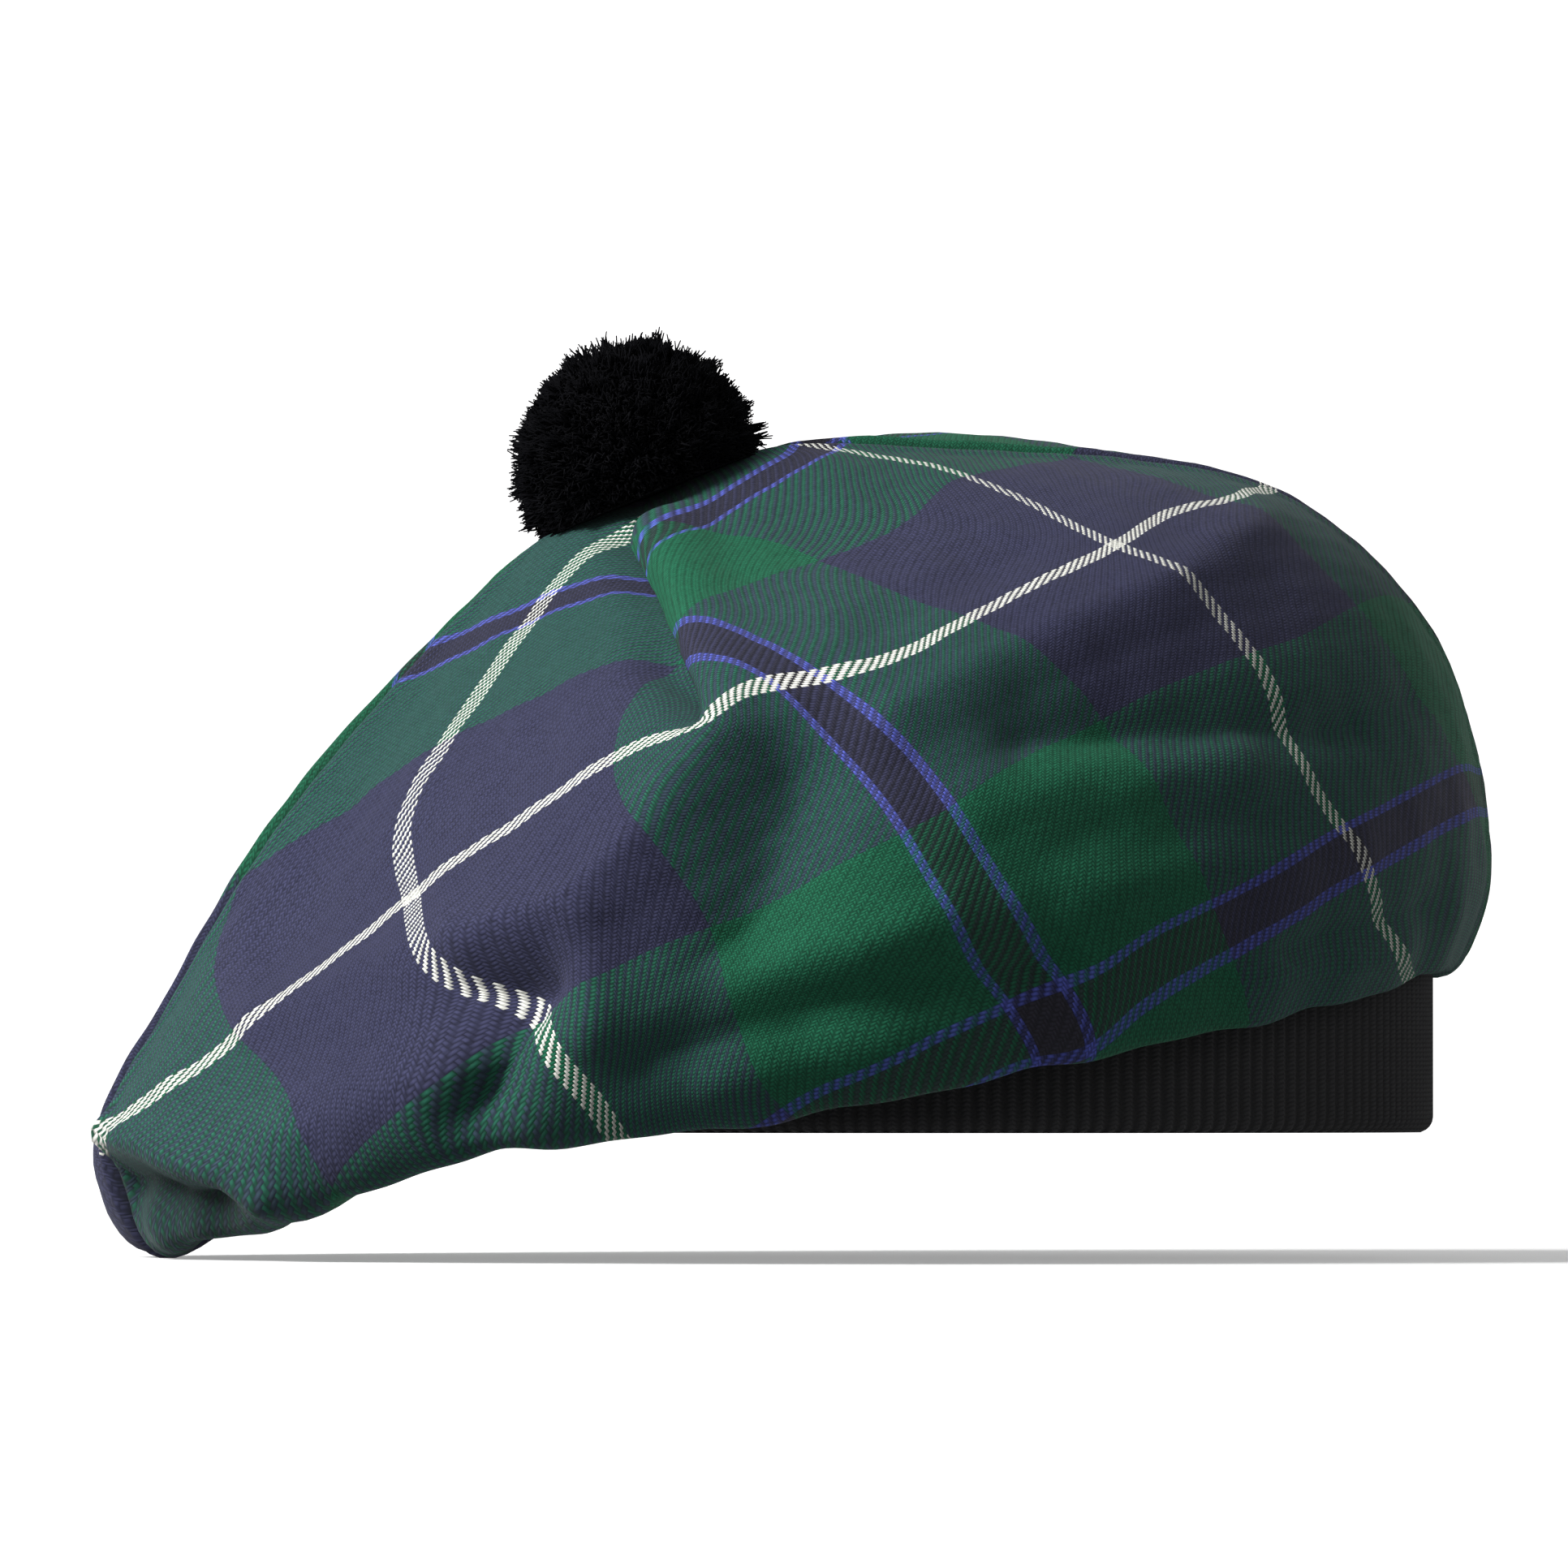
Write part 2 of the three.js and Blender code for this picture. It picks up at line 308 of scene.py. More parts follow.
# The turned-under point of the droop, where the near panel folds sharply inwards.
TIP_FOLDS = [
    (3, 3.2, 1.6, [(-164, 0), (-149, -6), (-132, -12)]),
    (5.5, -7.0, 1.8, [(-159, -10), (-150, -13), (-143, -14)]),
]
# Painted shadow in the turned-under cloth of the droop, as a share of the darkest in place of a height.
POCKET_PAINTED_SHADE = [(6.5, 0.75, 2.5, [(-158, -11), (-149, -14.5), (-141, -15)])]


def ring_values(angles):
    """The section values at any angles, on a smooth closed curve through the table."""
    rows = np.vstack([SECTIONS[-2:], SECTIONS, SECTIONS[:2]])
    knots = rows[:, 0].copy()
    knots[:2] -= 360
    knots[-2:] += 360
    values = rows[:, 1:]
    i = np.searchsorted(knots, angles, side="right") - 1
    span = (knots[i + 1] - knots[i])[:, None]
    leave = (values[i + 1] - values[i - 1]) / (knots[i + 1] - knots[i - 1])[:, None] * span
    arrive = (values[i + 2] - values[i]) / (knots[i + 2] - knots[i])[:, None] * span
    t = (angles - knots[i])[:, None] / span
    rise = values[i + 1] - values[i]
    bend = 3 * rise - 2 * leave - arrive
    twist = leave + arrive - 2 * rise
    return values[i] + t * (leave + t * (bend + t * twist))


def crown_surface(angles, places):
    """The unfolded crown in millimetres, one line of cloth from the middle to the hem a column."""
    turn = np.radians(angles)
    cos, sin = np.cos(turn), np.sin(turn)
    count = len(angles)
    points = np.zeros((count, RINGS + 1, 3))
    points[:, 0] = (SEAT_X, 0, SEAT_Z)
    seat_out = SEAT_RADIUS * np.hypot(cos * math.cos(SEAT_TILT), sin)
    points[:, 1, 0] = SEAT_X + seat_out * cos
    points[:, 1, 1] = seat_out * sin
    points[:, 1, 2] = SEAT_Z + SEAT_RADIUS * math.sin(SEAT_TILT) * cos - SEAT_SADDLE * sin**2
    rings = ring_values(angles % 360)
    for k, middle in enumerate(RING_MIDDLES):
        points[:, 2 + k, 0] = middle + rings[:, 2 * k] * cos
        points[:, 2 + k, 1] = rings[:, 2 * k] * sin
        points[:, 2 + k, 2] = rings[:, 2 * k + 1]
    for k, (out, z) in enumerate((JOIN, HEM)):
        points[:, RINGS - 1 + k] = np.stack([out * cos, out * sin, np.full(count, z)], axis=1)
    first = 2 * points[:, :1] - points[:, 1:2]
    last = 2 * points[:, -1:] - points[:, -2:-1]
    line = np.concatenate([first, points, last], axis=1)
    step = np.sqrt(np.linalg.norm(np.diff(line, axis=1), axis=2))
    cloth = np.zeros((count, len(places), 3))
    for column, place in enumerate(places):
        i = min(int(place * RINGS), RINGS - 1)
        t = place * RINGS - i
        p0, p1, p2, p3 = (line[:, i + k] for k in range(4))
        d0, d1, d2 = (step[:, i + k, None] for k in range(3))
        leave = ((p1 - p0) / d0 - (p2 - p0) / (d0 + d1) + (p2 - p1) / d1) * d1
        arrive = ((p2 - p1) / d1 - (p3 - p1) / (d1 + d2) + (p3 - p2) / d2) * d1
        bend = 3 * (p2 - p1) - 2 * leave - arrive
        twist = leave + arrive - 2 * (p2 - p1)
        cloth[:, column] = p1 + t * (leave + t * (bend + t * twist))
    return cloth


def facing(cloth, outwards):
    """Unit normals of a grid of points, with the seam's own kept in the plane of the seam."""
    across = np.gradient(cloth, axis=0)
    along = np.gradient(cloth, axis=1)
    normal = np.cross(along, across) * outwards
    normal[:, 0] = (-math.sin(SEAT_TILT), 0, math.cos(SEAT_TILT))
    normal[[0, -1], :, 1] = 0
    return normal / np.maximum(np.linalg.norm(normal, axis=2, keepdims=True), 1e-9)


def smooth_step(low, high, value):
    """From 0 at the low value to 1 at the high one."""
    t = np.clip((value - low) / (high - low), 0, 1)
    return t * t * (3 - 2 * t)


def fold_heights(cloth, folds):
    """How far the folds push each point out, by how near it is to each fold's route."""
    height = np.zeros(cloth.shape[:2])
    side = cloth[:, :, [0, 2]]
    for half_width, rise, sharpness, route in folds:
        away = np.full(height.shape, np.inf)
        for start, end in zip(route, route[1:]):
            start, along = np.array(start), np.array(end) - np.array(start)
            share = np.clip(((side - start) @ along) / (along @ along), 0, 1)[..., None]
            away = np.minimum(away, np.linalg.norm(side - start - share * along, axis=2))
        height += rise * np.exp(-((away / half_width) ** sharpness))
    return height


# The tuck is open from its mouth, by the middle, to its end, as shares of the way to the hem.
TUCK_MOUTH = 0.115
TUCK_END = 0.385
TUCK_OPENS = 0.12
TUCK_TAPER = 2.5
ring_ends = np.cumsum([0] + RING_STEPS)
places = np.interp(np.arange(ring_ends[-1] + 1), ring_ends, np.arange(RINGS + 1) / RINGS)
mouth_row = int(np.searchsorted(places, TUCK_MOUTH))
end_row = int(np.searchsorted(places, TUCK_END))

# Where each kind of fold swells and fades, as shares of the way from the middle to the hem.
FOLDED = (0.125, 0.2, 0.66, 0.75)
GATHERED = (0.55, 0.68, 0.78, 0.87)
TURNED_UNDER = (0.5, 0.6, 0.8, 0.88)
SEAM_STARTS = (0.1, 0.16)
# The seam holds the cloth flat beside it for this far, and less where the cloth is turned under.
SEAM_FLAT = 7.0
TIP_FLAT = 4.0
# Waves of loose cloth, broad and fine, and gathers as (height, number in a full turn, offset).
BROAD_WAVE = 0.22
FINE_WAVE = 0.15
GATHERS = [(0.4, 23, 1.3), (0.28, 38, 0.0)]
# Rounded rises and dips across the seam and the tuck, as (height, middle, half width) in
# millimetres. The cloth before the tuck slides under, and the cloth after it rolls over.
SEAM_DIP = (-2.2, 0, 1.3)
SEAM_RIDGE = {"near": (0.66, 4.5, 2.2), "far": (1.98, 4.5, 2.2)}
UNDER_LIFT = (-5.0, 0, 7)
UNDER_SLIDE = (5.5, 0, 4.5)
OVER_LIFT = (2.8, 4, 6)
OVER_ROLL = (-3.6, 0, 1.4)
OVER_SLIDE = (-3.0, 0, 4)
# How far the painted shade beside the seam and on the cloth that slides under the tuck reaches over the
# cloth, in the same way.
SEAM_PAINTED_SHADE = {"near": (1, 0, 1.7), "far": (1, 0, 2.6)}
TUCK_PAINTED_SHADE = (1, 0, 3.5)


def swelling(span, value):
    """A smooth rise from 0 to 1 and back, at the four values of the span."""
    return smooth_step(span[0], span[1], value) * (1 - smooth_step(span[2], span[3], value))


def mound(shape, value):
    height, middle, half_width = shape
    return height * np.exp(-(((value - middle) / half_width) ** 2))


def loose_waves(cloth):
    x, y, z = np.moveaxis(cloth, 2, 0)
    broad = np.sin(0.31 * x + 0.12 * z + 1) * np.sin(0.27 * z - 0.16 * y + 2)
    fine = np.sin(0.52 * x - 0.2 * z) * np.sin(0.47 * z + 0.3 * y)
    return BROAD_WAVE * broad + FINE_WAVE * fine


def panel_cloth(side):
    """The folded panel twice over, as it lies before the tuck and after it, the line of the tuck,
    and the painted shade on each point beside the seam, under the tuck and in the fold under the droop."""
    near = side == "near"
    angles = 180.0 + turns
    if not near:
        angles = 360.0 - angles
    outwards = 1 if near else -1
    tuck = int(np.argmin(np.abs(turns - tuck_turn)))
    cloth = crown_surface(angles, places)
    normal = facing(cloth, outwards)
    steps = np.linalg.norm(np.diff(cloth, axis=0), axis=2)
    reach = np.vstack([np.zeros(len(places)), np.cumsum(steps, axis=0)])
    from_seam = np.minimum(reach, reach[-1] - reach)

    folds = fold_heights(cloth, NEAR_FOLDS if near else FAR_FOLDS)
    heights = (folds + loose_waves(cloth)) * swelling(FOLDED, places)
    for height, number, offset in GATHERS:
        ripple = np.sin(number * np.radians(angles) + offset)
        heights += height * ripple[:, None] * swelling(GATHERED, places)
    heights *= smooth_step(0, SEAM_FLAT, from_seam)
    # Painted shade: darker beside the seam, and on the near panel also in the turned-under fold of the
    # droop.
    painted_shade = mound(SEAM_PAINTED_SHADE[side], from_seam)
    if near:
        off_seam = smooth_step(0, TIP_FLAT, from_seam)
        heights += fold_heights(cloth, TIP_FOLDS) * swelling(TURNED_UNDER, places) * off_seam
        painted_shade = np.maximum(painted_shade, fold_heights(cloth, POCKET_PAINTED_SHADE) * off_seam)
    seam_line = mound(SEAM_RIDGE[side], from_seam) + mound(SEAM_DIP, from_seam)
    heights += seam_line * smooth_step(*SEAM_STARTS, places)
    cloth = cloth + normal * heights[..., None]

    normal = facing(cloth, outwards)
    sideways = np.gradient(cloth, axis=0)
    sideways /= np.maximum(np.linalg.norm(sideways, axis=2, keepdims=True), 1e-9)
    away = reach - reach[tuck]
    run = np.clip((places - TUCK_MOUTH) / (TUCK_END - TUCK_MOUTH), 0, 1)
    strength = smooth_step(0.0, TUCK_OPENS, run) * np.sqrt(1 - run**TUCK_TAPER)
    under = (mound(UNDER_LIFT, away), mound(UNDER_SLIDE, away), away <= 0)
    over = (mound(OVER_LIFT, away) + mound(OVER_ROLL, away), mound(OVER_SLIDE, away), away >= 0)
    shift = np.array([0, -SEAM_GAP if near else SEAM_GAP, 0])
    both = []
    for lift, slide, own in (under, over):
        share = (strength * own)[..., None]
        both.append((cloth + share * (normal * lift[..., None] + sideways * slide[..., None]) + shift) * MM)
    # Painted shade on the cloth that slides under the tuck's lip.
    tuck_painted_shade = strength * mound(TUCK_PAINTED_SHADE, away) * (away <= 0)
    return both[0], both[1], tuck, np.stack([np.maximum(painted_shade, tuck_painted_shade), painted_shade])


def crown_panel(side):
    """The panel as a sheet of quads, open along the tuck, with its place in the grid kept."""
    before, after, tuck, painted_shade = panel_cloth(side)
    rows = len(places) - 1
    bm = bmesh.new()
    bmesh.ops.create_grid(bm, x_segments=COLUMNS, y_segments=rows, size=0.5)
    station = bm.verts.layers.int.new("station")
    wing = bm.faces.layers.int.new("wing")
    for vert in bm.verts:
        column = round((vert.co.x + 0.5) * COLUMNS)
        vert[station] = column * (rows + 1) + round((vert.co.y + 0.5) * rows)
    for face in bm.faces:
        face[wing] = int((face.calc_center_median().x + 0.5) * COLUMNS > tuck)
    slit = []
    for edge in bm.edges:
        stations = [divmod(vert[station], rows + 1) for vert in edge.verts]
        on_tuck = all(column == tuck and row <= end_row for column, row in stations)
        edge.seam = on_tuck
        if on_tuck and all(row >= mouth_row for column, row in stations):
            slit.append(edge)
    bmesh.ops.split_edges(bm, edges=slit)
    # Each point keeps its painted shade from the seam, the tuck and the droop's fold, for the cloth's
    # colour to darken by.
    painted_hollow_shade = bm.verts.layers.float.new("painted_hollow_shade")
    for vert in bm.verts:
        column, row = divmod(vert[station], rows + 1)
        lifted = all(face[wing] for face in vert.link_faces)
        vert.co = (after if lifted else before)[column, row]
        vert[painted_hollow_shade] = painted_shade[int(lifted), column, row]
    middle = [vert for vert in bm.verts if vert[station] % (rows + 1) == 0]
    bmesh.ops.remove_doubles(bm, verts=middle, dist=0.01 * MM)
    return finished(bm, f"crown_{side}_panel_cloth"), before, after, tuck


def grid_of_corners(panel):
    """For every corner of every face: which wing of the tuck, column and row it belongs to."""
    mesh = panel.data
    rows = len(places)
    corner_vert = np.zeros(len(mesh.loops), dtype=np.int32)
    mesh.loops.foreach_get("vertex_index", corner_vert)
    station = np.zeros(len(mesh.vertices), dtype=np.int32)
    mesh.attributes["station"].data.foreach_get("value", station)
    wing = np.zeros(len(mesh.polygons), dtype=np.int32)
    mesh.attributes["wing"].data.foreach_get("value", wing)
    sides = np.zeros(len(mesh.polygons), dtype=np.int32)
    mesh.polygons.foreach_get("loop_total", sides)
    return np.repeat(wing, sides), station[corner_vert] // rows, station[corner_vert] % rows


def flattened(panel):
    """The panel laid out flat, as places on the cloth for each wing, column and row."""
    bpy.context.view_layer.objects.active = panel
    panel.select_set(True)
    bpy.ops.object.mode_set(mode="EDIT")
    bpy.ops.mesh.select_all(action="SELECT")
    bpy.ops.uv.unwrap(method="CONFORMAL", margin=0)
    bpy.ops.object.mode_set(mode="OBJECT")
    panel.select_set(False)
    layer = panel.data.uv_layers.active
    corners = np.zeros(2 * len(panel.data.loops), dtype=np.float32)
    layer.uv.foreach_get("vector", corners)
    wing, column, row = grid_of_corners(panel)
    flat = np.full((2, COLUMNS + 1, len(places), 2), np.nan)
    flat[wing, column, row] = corners.reshape(-1, 2)
    for half in flat:
        missing = np.isnan(half[:, 0, 0])
        half[missing, 0] = half[~missing, 0][0]
    return flat


# How far each lip of the flat tuck is swung away from the other, and the turn past which cloth
# is counted with the lip that it lies next to.
WEDGE = math.radians(40)
HALF_ROUND = 2.6
lip_row = mouth_row + 3


def opened(flat, tuck):
    """The flat cloth with its tuck spread into a wedge, so that its two wings lie well apart."""
    centre = flat[0, tuck, end_row]
    lips = (flat[0, tuck, lip_row] + flat[1, tuck, lip_row]) / 2 - centre
    towards = math.atan2(lips[1], lips[0])
    arm = flat - centre
    turn = np.arctan2(arm[..., 1], arm[..., 0]) - towards
    turn = turn - 2 * math.pi * np.round(turn / (2 * math.pi))
    sign = 1 if turn[0, tuck, lip_row] > 0 else -1
    squeezed = np.zeros_like(turn)
    for wing, way in ((0, sign), (1, -sign)):
        turn[wing] = np.where(turn[wing] * way < -HALF_ROUND, turn[wing] + way * 2 * math.pi, turn[wing])
        squeezed[wing] = way * (WEDGE + turn[wing] * way * (math.pi - WEDGE) / math.pi)
    reach = np.linalg.norm(arm, axis=-1)
    return np.stack([reach * np.cos(squeezed), reach * np.sin(squeezed)], axis=-1)


def spline_through(sites, values, at, ease):
    """A thin plate bent through the values at the sites, eased by a little give, read at places."""

    def bowl(a, b):
        gap = np.linalg.norm(a[:, None] - b[None], axis=2)
        return gap**2 * np.log(gap + 1e-9)

    count = len(sites)
    flat = np.hstack([np.ones((count, 1)), sites])
    system = np.zeros((count + 3, count + 3))
    system[:count, :count] = bowl(sites, sites) + ease * np.eye(count)
    system[:count, count:] = flat
    system[count:, :count] = flat.T
    weights = np.linalg.solve(system, np.concatenate([values, np.zeros(3)]))
    tilt = np.hstack([np.ones((len(at), 1)), at]) @ weights[count:]
    return tilt + bowl(at, sites) @ weights[:count]


# The white lines stand at the middle of the check and a full repeat on. Marks at this distance to
# either side keep their width true.
WHITE_LINES = (0, 158)
FLANK = 5.0
ROUTE_EASE = 2e-4
# Where the stripes run on the near side, seen from the front, in millimetres: which way the
# stripe's threads cross, wing of the tuck (0 left, 1 right, 2 below it), place in the check, route.
STRIPES = [
    ("a", 0, 0, [(-163, 0), (-141, 16), (-126, 28), (-106, 44), (-89, 56), (-77, 64), (-67, 70.5),
        (-59, 74.5), (-53, 75)]),
    ("a", 1, 0, [(-48, 79), (-45, 83), (-38, 84.5), (-19, 88), (-14, 90), (-4, 95), (7, 101),
        (28, 111), (41, 118), (52, 121.5)]),
    ("a", 0, -83.9, [(-100, 94), (-88, 99), (-77, 103), (-64, 105)]),
    ("a", 1, -83.9, [(-65, 108.5), (-58, 114), (-53, 117), (-30, 129)]),
    ("a", 0, -74.1, [(-110, 84), (-93, 90), (-87, 95), (-81, 98), (-71, 100), (-61, 101)]),
    ("a", 1, -74.1, [(-63, 106), (-55, 113), (-48, 117), (-36, 123), (-28, 128)]),
    ("a", 0, -38.5, [(-126, 57), (-113, 66), (-104, 72), (-93, 78), (-82, 82), (-74, 87),
        (-58, 88.5)]),
    ("a", 1, -38.5, [(-53, 98), (-47, 102), (-39, 105), (-28, 108), (-6, 123), (6, 126)]),
    ("a", 2, 38.5, [(-131, -9), (-122, -4), (-112, 1), (-102, 7), (-95, 12), (-86, 19), (-77, 24),
        (-72, 25), (-58, 32), (-40, 43),
        (-30, 47), (-2, 62), (7, 70), (17, 75), (34, 84), (51, 90), (63, 93), (77, 102)]),
    ("a", 2, 74.1, [(-52, 2), (-37, 6), (-24, 11), (-13, 16), (5, 23), (17, 30), (32, 38),
        (48, 45), (72, 59), (96, 69)]),
    ("a", 2, 83.9, [(4, 13), (16, 18), (32, 26), (72, 48), (97, 60)]),
    ("b", 0, 0, [(-70, 111), (-77, 105), (-86, 93), (-97, 76), (-106, 64), (-109, 54), (-106, 44),
        (-105, 38.5),
        (-102.5, 33), (-100, 29), (-95, 27), (-89, 26), (-83, 24), (-79, 21), (-77, 17), (-71, 8),
        (-67, 4), (-61, 1)]),
    ("b", 0, 38.5, [(-59, 87.5), (-64, 80), (-67, 75), (-67, 69), (-61, 55), (-49, 40),
        (-44, 30.5), (-39, 23), (-30, 11)]),
    ("b", 0, -38.5, [(-132, 56), (-140, 45), (-144, 33), (-143, 27.5), (-138, 18), (-130, 10),
        (-121, 4), (-115, -2)]),
    ("b", 0, -62, [(-163, -1)]),
    ("a", 0, 24, [(-150, -8)]),
    ("b", 1, 74.1, [(-50, 89.5), (-44, 88.5), (-39, 85), (-33, 80), (-26, 73.5), (-18, 62)]),
    ("b", 2, 74.1, [(-4, 38), (5, 24), (11.5, 16)]),
    ("b", 1, 83.9, [(-57, 96), (-50, 97.5), (-44, 96), (-31, 88), (-24, 84.5), (-16, 80),
        (-10, 73.5), (-2, 63)]),
    ("b", 2, 83.9, [(13, 38), (16, 32), (24, 22)]),
    ("b", 1, 119.5, [(-50, 113.5), (-28, 107), (-17, 102.5), (3, 95), (12, 91), (21, 84)]),
    ("b", 2, 119.5, [(26, 80), (31, 71), (36, 63), (45, 45)]),
    ("b", 1, 158, [(-22, 129), (-6, 126), (7, 121), (15, 117), (28, 111), (40, 106), (45, 102),
        (50, 94), (57, 87)]),
    ("b", 2, 158, [(60, 81), (63, 68), (73, 55), (77, 45), (81, 31.5)]),
]


def seen_from_front(points):
    """Where points in metres stand on the upright plane through the hat, in millimetres."""
    share = CAMERA_DISTANCE / (points[..., 1] + CAMERA_DISTANCE)
    x = eye.x + (points[..., 0] - eye.x) * share
    z = eye.z + (points[..., 2] - eye.z) * share
    return np.stack([x, z], axis=-1) / MM


def lying_at(spot, spots, rows):
    """What lies at a spot in the front view, from the rows of the four cloth points nearest it."""
    gap = np.linalg.norm(spots - spot, axis=1)
    near_by = np.argsort(gap)[:4]
    weight = 1 / (gap[near_by] + 0.1) ** 2
    return weight @ rows[near_by] / weight.sum()


def striped(flat, before, after, tuck):
    """Places in the check for the whole panel, from the stripes' routes, in metres of cloth."""
    spread = opened(flat, tuck)
    wings = np.stack([before, after])
    in_view = seen_from_front(wings)
    seen = (facing(before / MM, 1) * (np.array(eye) - wings)).sum(axis=-1) > 0
    column = np.arange(COLUMNS + 1)[None, :, None]
    wing = np.array([0, 1])[:, None, None]
    own = np.where(wing == 0, column <= tuck, column >= tuck) & seen & ~np.isnan(spread[..., 0])
    own[:, :, 0] = False
    marks = {"a": [], "b": []}
    for way, side, value, route in STRIPES:
        allowed = own if side == 2 else own & (wing == side)
        spots = in_view[allowed]
        rows = np.hstack([spread[allowed], wings[allowed] / MM])
        marks[way] += [(*lying_at(spot, spots, rows)[:2], value) for spot in route]
        if value not in WHITE_LINES or (way, side) == ("b", 0):
            continue
        hand = 1 if way == "a" else -1
        for last, spot, following in zip(route, route[1:], route[2:]):
            along = np.subtract(following, last) / math.dist(following, last)
            across = hand * np.array([along[1], -along[0]])
            middle = lying_at(spot, spots, rows)
            for out in (-FLANK, FLANK):
                beside = lying_at(spot + out * across, spots, rows)
                cloth_between = np.linalg.norm(beside[2:] - middle[2:])
                marks[way].append((*beside[:2], value + math.copysign(cloth_between, out)))
    at = spread.reshape(-1, 2)
    known = ~np.isnan(at[:, 0])
    laid = np.full((len(at), 2), np.nan)
    for k, way in enumerate("ab"):
        mark = np.array(marks[way])
        laid[known, k] = spline_through(mark[:, :2], mark[:, 2], at[known], ROUTE_EASE)
    return laid.reshape(spread.shape) * MM


def lay_check(panel, laid, shift):
    wing, column, row = grid_of_corners(panel)
    layer = panel.data.uv_layers.active or panel.data.uv_layers.new(name="cloth")
    layer.uv.foreach_set("vector", (laid[wing, column, row] + shift).astype(np.float32).ravel())


# Every thread passes over two and under two, a step along from its neighbour. FLOAT is how many
# threads it shows over, and the white threads stand up, so they show over a little more.
THREAD = 0.49 * MM
TWILL = 4.0
FLOAT = 2.2
B_FLOAT_START = 1.4
B_FLOAT_LOW = 0.25
WHITE_LEAN = 0.25
WHITE_COVER = 0.45
FIBRE_MIX = 0.2
SLUB = 0.3
LINT = 0.3
# Painted shade on each thread: its colour is scaled from the edge value up by the crest share of its raised
# height.
PAINTED_THREAD_EDGE = 0.14
PAINTED_THREAD_CREST = 0.9
# Painted shade in the seam, the tuck and the droop's fold: how far it darkens the cloth, and towards which
# colour.
PAINTED_SHADE_SHARE = 0.9
PAINTED_SHADE_COLOUR = (0.003, 0.005, 0.005, 1)
HALF_SETT = 79 * MM
# The check across half a sett: end of each stripe in millimetres, and its yarn.
YARNS = [
    (1.75, (0.97, 0.97, 0.90)),
    (38.5, (0.045, 0.047, 0.102)),
    (73.5, (0.013, 0.142, 0.072)),
    (75.5, (0.115, 0.145, 0.640)),
    (79.0, (0.026, 0.025, 0.038)),
]

# Loose fibre on yarn: a fine cloudy value by place, with its own grain and detail.
yarn_lint = bpy.data.node_groups.new("yarn_lint", "ShaderNodeTree")
for name, kind in (("Place", "Vector"), ("Grain", "Float"), ("Detail", "Float")):
    yarn_lint.interface.new_socket(name, in_out="INPUT", socket_type=f"NodeSocket{kind}")
yarn_lint.interface.new_socket("Lint", in_out="OUTPUT", socket_type="NodeSocketFloat")
given = node(yarn_lint, "NodeGroupInput").outputs
cloud = node(
    yarn_lint,
    "ShaderNodeTexNoise",
    {"Vector": given["Place"], "Scale": given["Grain"], "Detail": given["Detail"]},
)
node(yarn_lint, "NodeGroupOutput", {"Lint": cloud.outputs["Fac"]})


def lint(tree, place, grain, detail):
    inputs = {"Place": place, "Grain": grain, "Detail": detail}
    return node(tree, "ShaderNodeGroup", inputs, node_tree=yarn_lint).outputs["Lint"]


def mixed(tree, share, first, second, blend="MIX"):
    """The colour that lies a share of the way from the first to the second, or to their product."""
    inputs = {0: share, 6: first, 7: second}
    return node(tree, "ShaderNodeMix", inputs, data_type="RGBA", blend_type=blend).outputs[2]


def yarn_colour(tree, thread):
    """The colour of a thread of the check, from its number, and whether it is white."""
    middle = maths(tree, "MULTIPLY_ADD", thread, THREAD, THREAD / 2)
    folded = maths(tree, "PINGPONG", middle, HALF_SETT)
    made = node(tree, "ShaderNodeValToRGB", {"Fac": maths(tree, "DIVIDE", folded, HALF_SETT)})
    made.color_ramp.interpolation = "CONSTANT"
    stops = made.color_ramp.elements
    stops.remove(stops[1])
    stops[0].color = (*YARNS[0][1], 1)
    for (start, _), (_, colour) in zip(YARNS, YARNS[1:]):
        stops.new(start * MM / HALF_SETT).color = (*colour, 1)
    return made.outputs["Color"], maths(tree, "LESS_THAN", folded, YARNS[0][0] * MM)


def rounded(tree, threads):
    """The round of a thread across its width."""
    return maths(tree, "SINE", maths(tree, "MULTIPLY", maths(tree, "FRACT", threads), math.pi))


